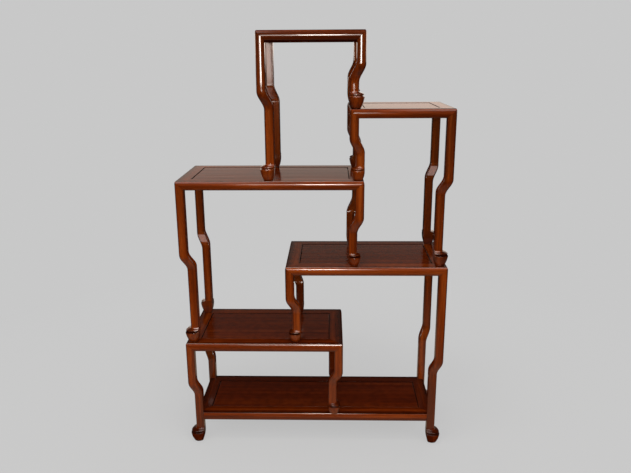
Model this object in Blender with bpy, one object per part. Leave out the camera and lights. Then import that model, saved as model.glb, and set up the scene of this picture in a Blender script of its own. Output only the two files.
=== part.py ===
# Curio display shelf: six staggered shelves, each a mitred frame round a floating panel.
# Square legs mitre into the frames' corners, bend inward in an S and end in hoof feet,
# which stand on the shelf below or on the floor.
# Metres, +Z up. X runs along the shelves, the front faces -Y, the floor is Z = 0.

import math

import bmesh
import bpy
from mathutils import Vector

# Overall plan
HEIGHT = 1.390              # floor to the face of the topmost shelf
SPAN = 0.880                # across the outer ends of the two high shelves
LOW_INSET = 0.0025          # the two low shelves stop this far inside those ends
DEPTH = 0.320               # front face to back face of the five upper shelves
TOP_WIDTH = 0.333
LEFT_HIGH_WIDTH = 0.602
RIGHT_LOW_WIDTH = 0.532
LEFT_LOW_WIDTH = 0.535

# Shelf tops below the topmost one, as shares of the height
BASE_LEVEL_SHARE = 0.0770
LEFT_LOW_LEVEL_SHARE = 0.2741
RIGHT_LOW_LEVEL_SHARE = 0.4698
LEFT_HIGH_LEVEL_SHARE = 0.6741
RIGHT_HIGH_LEVEL_SHARE = 0.8345

# Leg and rail stock
LEG_WIDTH = 0.029           # square leg, and the height of the rails that mitre into it
RAIL_WIDTH = 0.046          # outer face to the edge at the panel
CROWN = 0.0045              # swell of the outer faces
FIT = 0.0003                # gap left between joined pieces

# S-bend of a leg, inward in X and Y alike
BEND = 0.020
FLOOR_BEND = 0.0160         # of the four legs that run past the base to the floor
BEND_HEIGHT = 0.058
BEND_LEAD = 0.010           # the inner faces bend this much higher up than the outer ones
TOP_LEFT_BEND_SHARE = 0.457       # shelf top to the middle of the bend, as a share of the leg
TOP_RIGHT_BEND_SHARE = 0.543
RIGHT_HIGH_LEFT_BEND_SHARE = 0.534
RIGHT_HIGH_RIGHT_BEND_SHARE = 0.489
LEFT_HIGH_LEFT_BEND_SHARE = 0.493
LEFT_HIGH_RIGHT_BEND_SHARE = 0.528
RIGHT_LOW_LEFT_BEND_SHARE = 0.522
RIGHT_LOW_RIGHT_BEND_SHARE = 0.560
LEFT_LOW_LEFT_BEND_SHARE = 0.467
LEFT_LOW_RIGHT_BEND_SHARE = 0.507

# Hoof foot, reaches and insets measured from the lower leg's faces
SOLE_REACH = 0.006
SOLE_INSET = 0.006
HOOF_HEIGHT = 0.033
HOOF_SWELL = 0.0015
HOOF_CROWN = 0.0065
RIM_REACH = 0.017
RIM_THICKNESS = 0.003
RIM_EASE = 0.0015           # how far the rim's top edge falls back
THROAT_REACH = 0.0130       # groove between the rim and the shoulder
THROAT_HEIGHT = 0.0052
THROAT_EASE = 0.0010        # slope of the groove's two sides
SHOULDER_REACH = 0.0152
SHOULDER_RISE = 0.0120      # rim to the ankle
SMALL_FOOT_RISE = 0.82      # share of the full height, for feet well inside the shelf below
SMALL_FOOT_REACH = 0.68     # and of the full reach

# Floating panel, its groove and the battens below it
PANEL_DROP = 0.0008         # panel face below the frame's top
PANEL_THICKNESS = 0.012
PANEL_REVEAL = 0.0025       # open line between panel and frame
PANEL_EASE = 0.0008
TONGUE_DROP = 0.0052        # frame top to the tongue
TONGUE_THICKNESS = 0.0045
TONGUE_REACH = 0.005
GROOVE_SPARE = 0.001        # room left for the panel to swell
BATTEN_WIDTH = 0.024
BATTEN_HEIGHT = 0.011
DOVETAIL_HEIGHT = 0.004
DOVETAIL_NECK = 0.010
DOVETAIL_FLARE = 0.002
BATTEN_TENON_HEIGHT = 0.006
BATTEN_TENON_LENGTH = 0.008

# Hidden joints
HEAD_TENON = 0.007          # square tenons at a leg's head, one into each rail
HEAD_TENON_SETBACK = 0.008  # from the rail's outer face
HEAD_TENON_INSET = 0.018    # from the shelf's corner
HEAD_TENON_COVER = 0.0115   # wood left above the tenon
FOOT_TENON = 0.009
FOOT_TENON_LENGTH = 0.008
TENON_ROOT = 0.012          # how far a tenon runs into its own piece
MITRE_TENON_WALL = 0.004    # from the leg and from the groove
MITRE_TENON_WIDTH = 0.008
MITRE_TENON_HEIGHT = 0.008
MITRE_TENON_COVER = 0.008   # wood left at its tip
BASE_SETBACK = 0.0045       # base rails stand back from the faces of the legs that pass them
BASE_TENON_WIDTH = 0.008    # base rails into those legs
BASE_TENON_HEIGHT = 0.0075
BASE_TENON_LENGTH = 0.010
BASE_TENON_COVER = 0.004    # above the front tenons, and between them and the end ones

# Facets
FACE_STEPS = 4
BEND_STEPS = 10
HOOF_STEPS = 2
SHOULDER_STEPS = 3
SHARP_ANGLE = math.radians(32)

FLOOR = "floor"
FULL_FOOT = (1, 1)
SMALL_FOOT = (SMALL_FOOT_RISE, SMALL_FOOT_REACH)
LEFT, RIGHT = -1, 1
FRONT, BACK = -1, 1
SIDE_NAMES = {LEFT: "left", RIGHT: "right"}
FACE_NAMES = {FRONT: "front", BACK: "back"}

# Each mitre plane is backed off by half of the gap, measured along an axis
MITRE_BACK = FIT / math.sqrt(2)


class Shelf:
    # One tier: its outer box seen from above, its top, and the empty that carries it.
    def __init__(self, name, left, right, depth, top):
        self.name = name
        self.ends = {LEFT: left, RIGHT: right}
        self.faces = {FRONT: -depth / 2, BACK: depth / 2}
        self.top = top
        self.empty = bpy.data.objects.new(name + "_shelf", None)
        self.empty.location = ((left + right) / 2, 0, top)
        bpy.context.scene.collection.objects.link(self.empty)

    def corner(self, side, face):
        # Maps (inward along X, inward along Y, down) from this corner to the world.
        def place(across, along, down):
            x = self.ends[side] - side * across
            y = self.faces[face] - face * along
            return Vector((x, y, self.top - down))
        return place

    def face_edge(self, face):
        # Maps (from the left end, inward from this face, down) to the world.
        return self.corner(LEFT, face)

    def end_edge(self, side):
        # Maps (from the front face, inward from this end, down) to the world.
        place = self.corner(side, FRONT)
        return lambda along, inward, down: place(inward, along, down)

    def width(self):
        return self.ends[RIGHT] - self.ends[LEFT]

    def depth(self):
        return self.faces[BACK] - self.faces[FRONT]


def clear_scene():
    for obj in list(bpy.data.objects):
        bpy.data.objects.remove(obj, do_unlink=True)


def make_material(name, colour, roughness):
    material = bpy.data.materials.new(name)
    material.use_nodes = True
    shader = material.node_tree.nodes["Principled BSDF"]
    shader.inputs["Base Color"].default_value = (*colour, 1)
    shader.inputs["Roughness"].default_value = roughness
    shader.inputs["Metallic"].default_value = 0
    return material


def make_object(name, bm, shelf, material):
    bmesh.ops.recalc_face_normals(bm, faces=bm.faces)
    bmesh.ops.translate(bm, verts=bm.verts, vec=-shelf.empty.location)
    mesh = bpy.data.meshes.new(name)
    bm.to_mesh(mesh)
    bm.free()
    mesh.materials.append(material)
    obj = bpy.data.objects.new(name, mesh)
    obj.parent = shelf.empty
    bpy.context.scene.collection.objects.link(obj)
    return obj


def add_rings(bm, rings):
    # Skins a run of rings with equal point counts, and leaves both ends open.
    loops = [[bm.verts.new(point) for point in ring] for ring in rings]
    for upper, lower in zip(loops, loops[1:]):
        for k in range(len(upper)):
            after = (k + 1) % len(upper)
            bm.faces.new((upper[k], upper[after], lower[after], lower[k]))
    return loops


def block(place, across, along, down):
    # The eight corners of a box given by three spans in a corner's own measure.
    return [place(a, b, d) for d in down for a, b in zip(
        (across[0], across[1], across[1], across[0]),
        (along[0], along[0], along[1], along[1]))]


def grown(span, by=FIT):
    return (span[0] - by, span[1] + by)


def join_blocks(obj, blocks, operation):
    # Adds tenons to a piece, or cuts mortises out of it.
    if not blocks:
        return
    bm = bmesh.new()
    for points in blocks:
        upper, lower = add_rings(bm, (points[:4], points[4:]))
        bm.faces.new(upper)
        bm.faces.new(lower)
    bmesh.ops.recalc_face_normals(bm, faces=bm.faces)
    mesh = bpy.data.meshes.new("joint")
    bm.to_mesh(mesh)
    bm.free()
    joint = bpy.data.objects.new("joint", mesh)
    bpy.context.scene.collection.objects.link(joint)
    modifier = obj.modifiers.new("joint", "BOOLEAN")
    modifier.operation = operation
    modifier.solver = "EXACT"
    modifier.object = joint
    bpy.context.view_layer.update()
    result = obj.evaluated_get(bpy.context.evaluated_depsgraph_get())
    plain = obj.data
    obj.data = bpy.data.meshes.new_from_object(result)
    obj.data.name = obj.name
    obj.modifiers.clear()
    bpy.data.meshes.remove(plain)
    bpy.data.objects.remove(joint)
    bpy.data.meshes.remove(mesh)


def crown_radius(width, crown):
    return (width * width / 4 + crown * crown) / (2 * crown)


def crown_setback(across, width, crown):
    radius = crown_radius(width, crown)
    return radius - math.sqrt(radius * radius - (across - width / 2) ** 2)


def crown_points(width, crown):
    # One crowned face, from the corner it shares with its like to the far edge.
    total = width + 2 * crown_radius(width, crown)
    corner = (total - math.sqrt(total * total - 2 * width * width)) / 4
    steps = [corner + (width - corner) * k / FACE_STEPS for k in range(FACE_STEPS + 1)]
    return [(step, crown_setback(step, width, crown)) for step in steps]


def leg_section(reach, inset, crown):
    # Two crowned outer faces, which reach outward, and two flat inner ones.
    width = LEG_WIDTH + reach - inset
    crowned = crown_points(width, crown)
    points = crowned + [(width, width)] + [(b, a) for a, b in reversed(crowned[1:])]
    return [(a - reach, b - reach) for a, b in points]


def on_inner_face(index):
    return FACE_STEPS <= index <= FACE_STEPS + 2


def hoof_stations(foot):
    # From the ankle down: height above the sole on the outer and the inner faces, outward
    # reach, inner inset and crown. The shoulder and the throat lie level on the outer faces,
    # and run out evenly down the inner ones.
    tall, wide = foot
    rim_top = HOOF_HEIGHT + RIM_THICKNESS
    lip, ankle = rim_top + THROAT_HEIGHT, rim_top + SHOULDER_RISE
    outline = []
    for k in range(SHOULDER_STEPS + 1):
        angle = math.pi / 2 * k / SHOULDER_STEPS
        outline.append((lip + (ankle - lip) * math.cos(angle), SHOULDER_REACH * math.sin(angle)))
    outline += [(lip - THROAT_EASE, THROAT_REACH), (rim_top + THROAT_EASE, THROAT_REACH),
                (rim_top, RIM_REACH - RIM_EASE), (HOOF_HEIGHT, RIM_REACH)]
    stations = []
    for k, (height, reach) in enumerate(outline):
        inner = ankle + (HOOF_HEIGHT - ankle) * k / (len(outline) - 1)
        crown = CROWN + (HOOF_CROWN - CROWN) * min(reach / SHOULDER_REACH, 1)
        stations.append((height, inner, reach, 0, crown))
    for k in range(1, HOOF_STEPS + 1):
        rise = 1 - k / HOOF_STEPS
        swell = HOOF_SWELL * math.sin(math.pi * rise)
        stations.append((HOOF_HEIGHT * rise, HOOF_HEIGHT * rise,
                         SOLE_REACH + (RIM_REACH - SOLE_REACH) * rise + swell,
                         SOLE_INSET * (1 - rise) - swell, HOOF_CROWN))
    return [(outer * tall, inner * tall, reach * wide, inset, crown)
            for outer, inner, reach, inset, crown in stations]


def head_tenons(place, slack):
    near = grown((HEAD_TENON_SETBACK, HEAD_TENON_SETBACK + HEAD_TENON), slack)
    far = grown((HEAD_TENON_INSET, HEAD_TENON_INSET + HEAD_TENON), slack)
    down = (HEAD_TENON_COVER - slack, LEG_WIDTH + TENON_ROOT)
    return block(place, far, near, down), block(place, near, far, down)


def foot_tenon(place, length, slack):
    middle = BEND + (LEG_WIDTH - SOLE_INSET - SOLE_REACH) / 2
    span = grown((middle - FOOT_TENON / 2, middle + FOOT_TENON / 2), slack)
    down = (length - TENON_ROOT, length + FOOT_TENON_LENGTH + slack)
    return block(place, span, span, down)


def base_tenons(place, slack):
    # Tenons of the base's face rail and end rail into the leg at this base corner.
    middle = LEG_WIDTH / 2 - BASE_SETBACK
    width = grown((middle - BASE_TENON_WIDTH / 2, middle + BASE_TENON_WIDTH / 2), slack)
    leg_face = LEG_WIDTH - BASE_SETBACK
    length = (leg_face - BASE_TENON_LENGTH - slack, leg_face + TENON_ROOT)
    first = (BASE_TENON_COVER, BASE_TENON_COVER + BASE_TENON_HEIGHT)
    second = (first[1] + BASE_TENON_COVER, first[1] + BASE_TENON_COVER + BASE_TENON_HEIGHT)
    face_tenon = block(place, length, width, grown(first, slack))
    end_tenon = block(place, width, length, grown(second, slack))
    return face_tenon, end_tenon


def build_leg(shelf, side, face, length, drop, bend, foot, material):
    # Length runs from the shelf's top to the sole, and drop is the share of it to the bend.
    place = shelf.corner(side, face)
    straight = leg_section(0, 0, CROWN)
    rings = [[place(a, b, max(a, b) + MITRE_BACK) for a, b in straight]]
    bend_top = length * drop - BEND_HEIGHT / 2

    def bent(across, down):
        lead = BEND_LEAD * across / LEG_WIDTH
        part = min(max((down - bend_top + lead) / BEND_HEIGHT, 0), 1)
        return across + bend * (1 - math.cos(math.pi * part)) / 2

    for k in range(BEND_STEPS + 1):
        down = bend_top - BEND_LEAD + (BEND_HEIGHT + BEND_LEAD) * k / BEND_STEPS
        rings.append([place(bent(a, down), bent(b, down), down) for a, b in straight])
    for outer, inner, reach, inset, crown in hoof_stations(foot):
        section = leg_section(reach, inset, crown)
        rings.append([place(a + bend, b + bend, length - (inner if on_inner_face(k) else outer))
                      for k, (a, b) in enumerate(section)])
    bm = bmesh.new()
    loops = add_rings(bm, rings)
    head, sole = loops[0], loops[-1]
    bm.faces.new(head[:FACE_STEPS + 2])
    bm.faces.new(head[FACE_STEPS + 1:] + head[:1])
    bm.faces.new(sole)
    name = f"{shelf.name}_leg_{FACE_NAMES[face]}_{SIDE_NAMES[side]}"
    return make_object(name, bm, shelf, material)


def rail_section(leg_face):
    # Points (inward from the outer face, down from the top), round the section.
    crowned = [(b, a) for a, b in reversed(crown_points(LEG_WIDTH, CROWN))]
    groove_depth = TONGUE_REACH + GROOVE_SPARE
    groove = grown((TONGUE_DROP, TONGUE_DROP + TONGUE_THICKNESS))
    inner = [(RAIL_WIDTH, 0), (RAIL_WIDTH, groove[0]), (RAIL_WIDTH - groove_depth, groove[0]),
             (RAIL_WIDTH - groove_depth, groove[1]), (RAIL_WIDTH, groove[1]),
             (RAIL_WIDTH, LEG_WIDTH)]
    top_edge = (crown_setback(0, LEG_WIDTH, CROWN), 0)
    return [top_edge, (leg_face, 0)] + inner + [(leg_face, LEG_WIDTH)] + crowned


def build_rail(name, shelf, place, length, mitred, material):
    # A mitred rail meets the leg on a second mitre; the base's rails butt on its side.
    leg_face = LEG_WIDTH if mitred else LEG_WIDTH - BASE_SETBACK
    section = rail_section(leg_face)

    def inset(inward, down):
        return max(inward, down if mitred else leg_face) + MITRE_BACK

    rings = [[place(inset(a, d), a, d) for a, d in section],
             [place(length - inset(a, d), a, d) for a, d in section]]
    bm = bmesh.new()
    # The end is two planes: one meets the next rail, the other meets the leg.
    last = len(section) - 1
    split = last - FACE_STEPS - 1
    to_rail = list(range(1, split + 1))
    to_leg = list(range(split, last + 1))
    if mitred:
        to_rail = [last, 0] + to_rail
    else:
        to_leg += [0, 1]
    for loop in add_rings(bm, rings):
        bm.faces.new([loop[k] for k in to_rail])
        bm.faces.new([loop[k] for k in to_leg])
    return make_object(name, bm, shelf, material)


def mitre_tenon(place, slack):
    along = LEG_WIDTH + MITRE_TENON_WALL
    groove_bottom = TONGUE_DROP + TONGUE_THICKNESS + FIT
    down = groove_bottom + MITRE_TENON_WALL
    return block(place, (MITRE_TENON_COVER - slack, RAIL_WIDTH + TENON_ROOT),
                 grown((along, along + MITRE_TENON_WIDTH), slack),
                 grown((down, down + MITRE_TENON_HEIGHT), slack))


def panel_bottom():
    return PANEL_DROP + PANEL_THICKNESS


def build_panel(shelf, material):
    place = shelf.corner(LEFT, FRONT)
    edge = RAIL_WIDTH + PANEL_REVEAL
    tongue = RAIL_WIDTH - TONGUE_REACH
    tongue_bottom = TONGUE_DROP + TONGUE_THICKNESS
    stations = ((PANEL_DROP, edge + PANEL_EASE), (PANEL_DROP + PANEL_EASE, edge),
                (TONGUE_DROP, edge), (TONGUE_DROP, tongue),
                (tongue_bottom, tongue), (tongue_bottom, edge), (panel_bottom(), edge))
    far_x = shelf.width()
    far_y = shelf.depth()
    rings = [[place(margin, margin, down), place(far_x - margin, margin, down),
              place(far_x - margin, far_y - margin, down), place(margin, far_y - margin, down)]
             for down, margin in stations]
    bm = bmesh.new()
    loops = add_rings(bm, rings)
    bm.faces.new(loops[0])
    bm.faces.new(loops[-1])
    return make_object(shelf.name + "_panel", bm, shelf, material)


def dovetail(shelf, middle, margin, down, slack):
    # A rib that widens upward, across the panel's underside.
    place = shelf.corner(LEFT, FRONT)
    neck = DOVETAIL_NECK / 2 + slack
    crest = neck + DOVETAIL_FLARE
    far = shelf.depth() - margin
    return [place(middle + half, along, depth)
            for half_width, depth in ((crest, down[0]), (neck, down[1]))
            for half, along in ((-half_width, margin), (half_width, margin),
                                (half_width, far), (-half_width, far))]


def batten_tenons(shelf, middle, slack):
    width = grown((middle - BATTEN_WIDTH / 2, middle + BATTEN_WIDTH / 2), slack)
    top = panel_bottom() + FIT + (BATTEN_HEIGHT - BATTEN_TENON_HEIGHT) / 2
    down = grown((top, top + BATTEN_TENON_HEIGHT), slack)
    along = (RAIL_WIDTH - BATTEN_TENON_LENGTH - slack, RAIL_WIDTH + TENON_ROOT)
    return [block(shelf.corner(LEFT, face), width, along, down) for face in (FRONT, BACK)]


def build_batten(name, shelf, middle, material):
    place = shelf.corner(LEFT, FRONT)
    half = BATTEN_WIDTH / 2
    margin = RAIL_WIDTH + FIT
    top = panel_bottom() + FIT
    far = shelf.depth() - margin
    points = block(place, (middle - half, middle + half), (margin, far),
                   (top, top + BATTEN_HEIGHT))
    bm = bmesh.new()
    upper, lower = add_rings(bm, (points[:4], points[4:]))
    bm.faces.new(upper)
    bm.faces.new(lower)
    batten = make_object(name, bm, shelf, material)
    rib_top = panel_bottom() - DOVETAIL_HEIGHT
    rib = dovetail(shelf, middle, RAIL_WIDTH + PANEL_REVEAL, (rib_top, top + FIT), 0)
    join_blocks(batten, [rib] + batten_tenons(shelf, middle, 0), "UNION")
    return batten


def batten_places(shelf, count):
    # Middles of evenly spread battens, from the left end.
    return [shelf.width() * (k + 1) / (count + 1) for k in range(count)]


def build_battens(shelf, count, material):
    suffixes = ("",) if count == 1 else ("_left", "_right")
    for suffix, middle in zip(suffixes, batten_places(shelf, count)):
        build_batten(f"{shelf.name}_batten{suffix}", shelf, middle, material)


def build_frame(shelf, feet, batten_count, is_base, materials):
    # Feet are the sockets that legs standing on this shelf need in its frame.
    middles = batten_places(shelf, batten_count)
    corners = {(side, face): shelf.corner(side, face)
               for side in (LEFT, RIGHT) for face in (FRONT, BACK)}
    for index, face in enumerate((FRONT, BACK)):
        rail = build_rail(f"{shelf.name}_{FACE_NAMES[face]}_rail", shelf, shelf.face_edge(face),
                          shelf.width(), not is_base, materials["rail"])
        tenons = []
        mortises = [batten_tenons(shelf, middle, FIT)[index] for middle in middles]
        mortises += [points for foot_face, points in feet if foot_face == face]
        for side in (LEFT, RIGHT):
            place = corners[side, face]
            if is_base:
                tenons.append(base_tenons(place, 0)[0])
            else:
                tenons.append(mitre_tenon(place, 0))
                mortises.append(head_tenons(place, FIT)[0])
        join_blocks(rail, tenons, "UNION")
        join_blocks(rail, mortises, "DIFFERENCE")
    for side in (LEFT, RIGHT):
        rail = build_rail(f"{shelf.name}_{SIDE_NAMES[side]}_end", shelf, shelf.end_edge(side),
                          shelf.depth(), not is_base, materials["rail"])
        tenons = []
        mortises = [points for foot_face, points in feet]
        for face in (FRONT, BACK):
            place = corners[side, face]
            if is_base:
                tenons.append(base_tenons(place, 0)[1])
            else:
                mortises.append(mitre_tenon(place, FIT))
                mortises.append(head_tenons(place, FIT)[1])
        join_blocks(rail, tenons, "UNION")
        join_blocks(rail, mortises, "DIFFERENCE")
    panel = build_panel(shelf, materials["panel"])
    slot = (panel_bottom() - DOVETAIL_HEIGHT - FIT, panel_bottom() + FIT)
    slots = [dovetail(shelf, middle, RAIL_WIDTH - TENON_ROOT, slot, FIT) for middle in middles]
    join_blocks(panel, slots, "DIFFERENCE")
    build_battens(shelf, batten_count, materials["batten"])


def build_shelf_legs(shelf, stands, base, materials):
    # Stands gives, for each end, what the legs stand on, where their bend is and the foot's size.
    sockets = []
    for side, (support, drop, foot) in stands.items():
        on_floor = support == FLOOR
        length = shelf.top if on_floor else shelf.top - support.top - FIT
        bend = FLOOR_BEND if on_floor else BEND
        for face in (FRONT, BACK):
            place = shelf.corner(side, face)
            leg = build_leg(shelf, side, face, length, drop, bend, foot, materials["leg"])
            tenons = list(head_tenons(place, 0))
            if not on_floor:
                tenons.append(foot_tenon(place, length, 0))
                sockets.append((support, face, foot_tenon(place, length, FIT)))
            join_blocks(leg, tenons, "UNION")
            if on_floor:
                join_blocks(leg, base_tenons(base.corner(side, face), FIT), "DIFFERENCE")
            leg.data.shade_smooth()
            leg.data.set_sharp_from_angle(angle=SHARP_ANGLE)
    return sockets


def main():
    clear_scene()
    materials = {
        "leg": make_material("leg_rosewood", (0.20, 0.060, 0.020), 0.25),
        "rail": make_material("rail_rosewood", (0.22, 0.068, 0.022), 0.25),
        "panel": make_material("panel_rosewood", (0.12, 0.045, 0.020), 0.22),
        "batten": make_material("batten_hardwood", (0.16, 0.075, 0.035), 0.55),
    }
    left_end = -SPAN / 2
    right_end = SPAN / 2
    left_low_end = left_end + LOW_INSET
    right_low_end = right_end - LOW_INSET
    left_high_end = left_end + LEFT_HIGH_WIDTH
    # The right high shelf reaches in under the top's right legs as they bend.
    right_high_end = left_high_end - LEG_WIDTH - BEND

    # The base sits between the legs that run past it, a little behind their faces.
    base_inset = FLOOR_BEND + BASE_SETBACK
    base = Shelf("base", left_low_end + base_inset, right_low_end - base_inset,
                 DEPTH - 2 * base_inset, HEIGHT * BASE_LEVEL_SHARE)
    left_low = Shelf("left_low", left_low_end, left_low_end + LEFT_LOW_WIDTH, DEPTH,
                     HEIGHT * LEFT_LOW_LEVEL_SHARE)
    right_low = Shelf("right_low", right_low_end - RIGHT_LOW_WIDTH, right_low_end, DEPTH,
                      HEIGHT * RIGHT_LOW_LEVEL_SHARE)
    left_high = Shelf("left_high", left_end, left_high_end, DEPTH, HEIGHT * LEFT_HIGH_LEVEL_SHARE)
    right_high = Shelf("right_high", right_high_end, right_end, DEPTH, HEIGHT * RIGHT_HIGH_LEVEL_SHARE)
    top = Shelf("top", left_high_end - TOP_WIDTH, left_high_end, DEPTH, HEIGHT)

    stands = {
        top: {LEFT: (left_high, TOP_LEFT_BEND_SHARE, FULL_FOOT),
              RIGHT: (right_high, TOP_RIGHT_BEND_SHARE, FULL_FOOT)},
        right_high: {LEFT: (left_high, RIGHT_HIGH_LEFT_BEND_SHARE, SMALL_FOOT),
                     RIGHT: (right_low, RIGHT_HIGH_RIGHT_BEND_SHARE, FULL_FOOT)},
        left_high: {LEFT: (left_low, LEFT_HIGH_LEFT_BEND_SHARE, FULL_FOOT),
                    RIGHT: (right_low, LEFT_HIGH_RIGHT_BEND_SHARE, SMALL_FOOT)},
        right_low: {LEFT: (left_low, RIGHT_LOW_LEFT_BEND_SHARE, SMALL_FOOT),
                    RIGHT: (FLOOR, RIGHT_LOW_RIGHT_BEND_SHARE, FULL_FOOT)},
        left_low: {LEFT: (FLOOR, LEFT_LOW_LEFT_BEND_SHARE, FULL_FOOT),
                   RIGHT: (base, LEFT_LOW_RIGHT_BEND_SHARE, SMALL_FOOT)},
    }
    sockets = []
    for shelf, supports in stands.items():
        sockets += build_shelf_legs(shelf, supports, base, materials)
    batten_counts = {top: 1, right_high: 1, left_high: 2, right_low: 1, left_low: 1, base: 2}
    for shelf, count in batten_counts.items():
        feet = [(face, points) for support, face, points in sockets if support is shelf]
        build_frame(shelf, feet, count, shelf is base, materials)


main()
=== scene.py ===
import bmesh
import bpy
import math
from mathutils import Matrix, Vector


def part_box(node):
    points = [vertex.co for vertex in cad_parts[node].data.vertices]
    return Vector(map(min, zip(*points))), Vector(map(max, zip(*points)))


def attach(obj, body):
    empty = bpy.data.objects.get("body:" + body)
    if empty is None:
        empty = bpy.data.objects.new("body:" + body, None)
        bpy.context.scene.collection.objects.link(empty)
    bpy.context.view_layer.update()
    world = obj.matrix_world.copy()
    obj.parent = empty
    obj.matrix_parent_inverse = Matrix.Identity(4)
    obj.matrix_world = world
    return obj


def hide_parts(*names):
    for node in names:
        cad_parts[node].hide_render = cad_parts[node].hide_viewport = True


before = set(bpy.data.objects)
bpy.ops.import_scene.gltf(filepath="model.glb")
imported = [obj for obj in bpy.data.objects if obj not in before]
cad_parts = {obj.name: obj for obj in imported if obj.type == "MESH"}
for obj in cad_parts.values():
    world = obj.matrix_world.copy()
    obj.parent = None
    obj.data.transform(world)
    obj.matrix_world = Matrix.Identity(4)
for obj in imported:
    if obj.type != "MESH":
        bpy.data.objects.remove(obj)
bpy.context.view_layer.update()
print("frame in:", len(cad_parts), "nodes")

# stock that the legs and the rails are cut from
stock = {
    "width": 0.029,         # square legs, and the height of the rails
    "railWidth": 0.046,
    "crown": 0.0045,        # swell of the outer faces
    "fit": 0.0003,          # joint lines
    "noseEase": 0.0012,     # arris where two crowned faces meet
    "sideEase": 0.0015,     # arris between a crowned and a flat face
    "backEase": 0.0022,     # arris between two flat faces
    "faceSteps": 12,
    "easeSteps": 4,
    "sharpAngle": 38,
    "shadeWoodFrom": 0.65,       # faces with more painted shade than this get the near-black painted shade wood
}
mitreBack = stock["fit"] / math.sqrt(2)
finish = {"seam": 1, "bare": 2, "plain": 3}     # places of the other woods on a piece


def crownRadius(width, crown):
    return (width * width / 4 + crown * crown) / (2 * crown)


def fallBack(across, width, crown):
    # how far a crowned face lies behind its own plane at this point
    radius = crownRadius(width, crown)
    return radius - math.sqrt(radius * radius - (across - width / 2) ** 2)


def meetAt(width, crown):
    # where two crowned faces meet, on the diagonal
    total = width + 2 * crownRadius(width, crown)
    return (total - math.sqrt(total * total - 2 * width * width)) / 4


def roundOver(start, corner, end, steps, first=0.0, last=1.0):
    # a soft arris from start to end that turns under the corner
    points = []
    for k in range(steps + 1):
        t = first + (last - first) * k / steps
        points.append(tuple((1 - t) ** 2 * s + 2 * t * (1 - t) * c + t * t * e
                            for s, c, e in zip(start, corner, end)))
    return points


def spread(start, end, steps):
    # points between the two, without them
    return [start + (end - start) * k / steps for k in range(1, steps)]


def addRings(bm, rings):
    # points are (position, wear, painted shade): wear marks worn arrises and painted edge shade, painted
    # shade darkens hollows, creases and grooves
    wear = bm.verts.layers.float.new("wear")
    hollow = bm.verts.layers.float.new("hollow")
    loops = []
    for ring in rings:
        loop = []
        for position, worn, deep in ring:
            vert = bm.verts.new(position)
            vert[wear] = worn
            vert[hollow] = deep
            loop.append(vert)
        loops.append(loop)
    for upper, lower in zip(loops, loops[1:]):
        for k in range(len(upper)):
            after = (k + 1) % len(upper)
            face = bm.faces.new((upper[k], upper[after], lower[after], lower[k]))
            if min(vert[hollow] for vert in face.verts) > stock["shadeWoodFrom"]:
                face.material_index = finish["seam"]
    return loops


def putPiece(name, bm, material, node, tones=(0.0, 0.0), others=("seam", "bare")):
    # tones of this stick against the rest of the wood, above and below its middle half: painted shade and
    # light as well as its own tone
    layer = bm.verts.layers.float.new("tone")
    heights = [vert.co.z for vert in bm.verts]
    low, rise = min(heights), max(heights) - min(heights)
    for vert in bm.verts:
        share = min(max((vert.co.z - low) / rise * 2 - 0.5, 0.0), 1.0)
        vert[layer] = tones[1] + (tones[0] - tones[1]) * share
    bmesh.ops.recalc_face_normals(bm, faces=bm.faces)
    mesh = bpy.data.meshes.new(name)
    bm.to_mesh(mesh)
    bm.free()
    mesh.materials.append(material)
    for other in others[:max(face.material_index for face in mesh.polygons)]:
        mesh.materials.append(woods[other])
    mesh.shade_smooth()
    mesh.set_sharp_from_angle(angle=math.radians(stock["sharpAngle"]))
    piece = bpy.data.objects.new(name, mesh)
    bpy.context.scene.collection.objects.link(piece)
    flatten = piece.modifiers.new("even faces", "WEIGHTED_NORMAL")
    flatten.keep_sharp = True
    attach(piece, "root")
    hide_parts(node)


# nodes of a material, short to write
def addNode(tree, kind, settings=None, **sockets):
    node = tree.nodes.new(kind)
    for key, value in (settings or {}).items():
        setattr(node, key, value)
    for key, value in sockets.items():
        numbered = key.startswith("in") and key[2:].isdigit()
        socket = node.inputs[int(key[2:]) if numbered else key]
        if isinstance(value, bpy.types.NodeSocket):
            tree.links.new(value, socket)
        else:
            socket.default_value = value
    return node


def noisy(tree, place, scales, detail, roughness=0.5, distortion=0.0):
    spaced = addNode(tree, "ShaderNodeVectorMath", {"operation": "MULTIPLY"}, in0=place, in1=scales)
    return addNode(tree, "ShaderNodeTexNoise", None, Vector=spaced.outputs[0], Scale=1.0, Detail=detail,
                   Roughness=roughness, Distortion=distortion).outputs[0]


def painted(tree, name):
    # a value kept on the points of the mesh
    return addNode(tree, "ShaderNodeAttribute", {"attribute_name": name}).outputs["Fac"]


def blended(tree, factor, first, second):
    mix = addNode(tree, "ShaderNodeMix", {"data_type": "RGBA"})
    for number, value in ((0, factor), (6, first), (7, second)):
        if isinstance(value, bpy.types.NodeSocket):
            tree.links.new(value, mix.inputs[number])
        else:
            mix.inputs[number].default_value = value
    return mix.outputs[2]


def worked(tree, operation, first, second=0.0):
    return addNode(tree, "ShaderNodeMath", {"operation": operation}, in0=first, in1=second).outputs[0]


def ranged(tree, value, low, high, newLow=0.0, newHigh=1.0):
    return addNode(tree, "ShaderNodeMapRange", None, in0=value, in1=low, in2=high,
                   in3=newLow, in4=newHigh).outputs[0]


def grey(level):
    return (level, level, level, 1)


def graded(tree, value, steps):
    # steps are pairs of a value and the level there
    ramp = addNode(tree, "ShaderNodeValToRGB", None, in0=value)
    stops = ramp.color_ramp.elements
    stops.remove(stops[1])
    for at, level in steps:
        stops.new(at).color = grey(level)
    stops.remove(stops[0])
    return ramp.outputs[0]


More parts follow.
